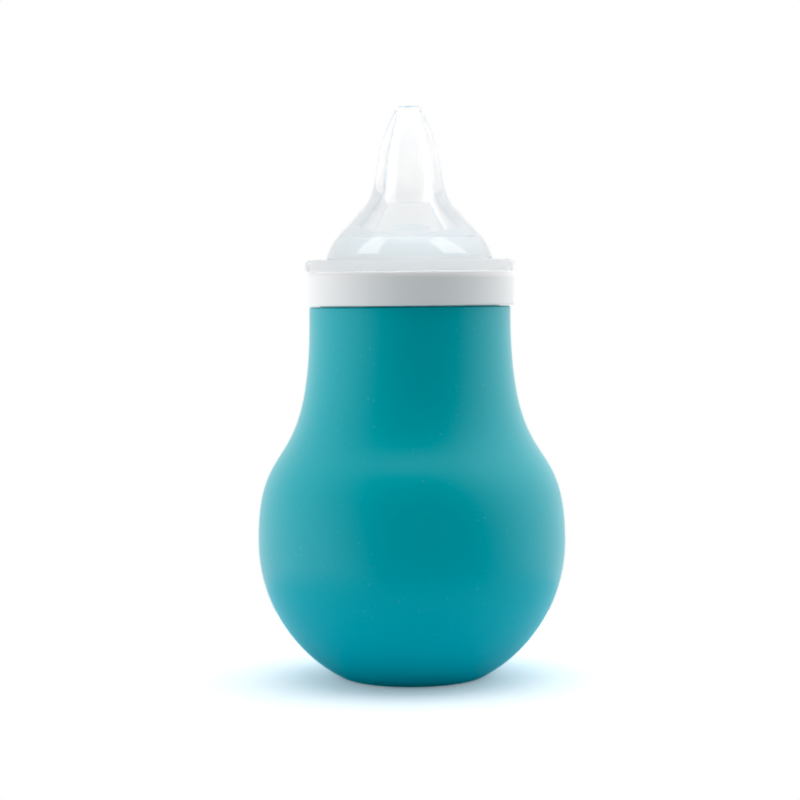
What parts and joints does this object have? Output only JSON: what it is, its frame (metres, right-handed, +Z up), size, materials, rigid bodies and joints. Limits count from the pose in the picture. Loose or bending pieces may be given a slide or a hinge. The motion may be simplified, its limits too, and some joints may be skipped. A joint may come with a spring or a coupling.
{
  "type": "nasal aspirator",
  "caption": "Hand-squeezed nasal aspirator for babies: soft round bulb with a wide neck, screw collar and clear soft nozzle with a domed base and slender tip.",
  "frame": {"origin": "centre of the bulb's flat resting face", "axes": "+Z up through the tip, which every piece is round about"},
  "size_m": [0.0556, 0.0556, 0.103],
  "materials": {
    "bulb_soft_teal": "satin matt, fine moulded grain",
    "insert_white": "smooth moulded",
    "collar_white": "smooth satin",
    "nozzle_clear_silicone": "glossy, clear with a faint blue cast"
  },
  "bodies": {
    "bulb": {"squeeze_bulb": "bulb_soft_teal", "neck_insert": "insert_white"},
    "nozzle": {"nozzle": "nozzle_clear_silicone"},
    "collar": {"collar_ring": "collar_white"}
  },
  "joints": [
    {"name": "nozzle_lift", "type": "slide", "parent": "bulb", "child": "nozzle", "axis": [0, 0, 1], "range_m": [0, 0.0025]},
    {"name": "collar_turn", "type": "hinge", "parent": "nozzle", "child": "collar", "pos_m": [0, 0, 0.07], "axis": [0, 0, 1], "range_deg": [0, 451]}
  ],
  "couplings": [
    {"joint": "collar_turn", "follows": "nozzle_lift", "rad_per_m": 3141.6}
  ]
}
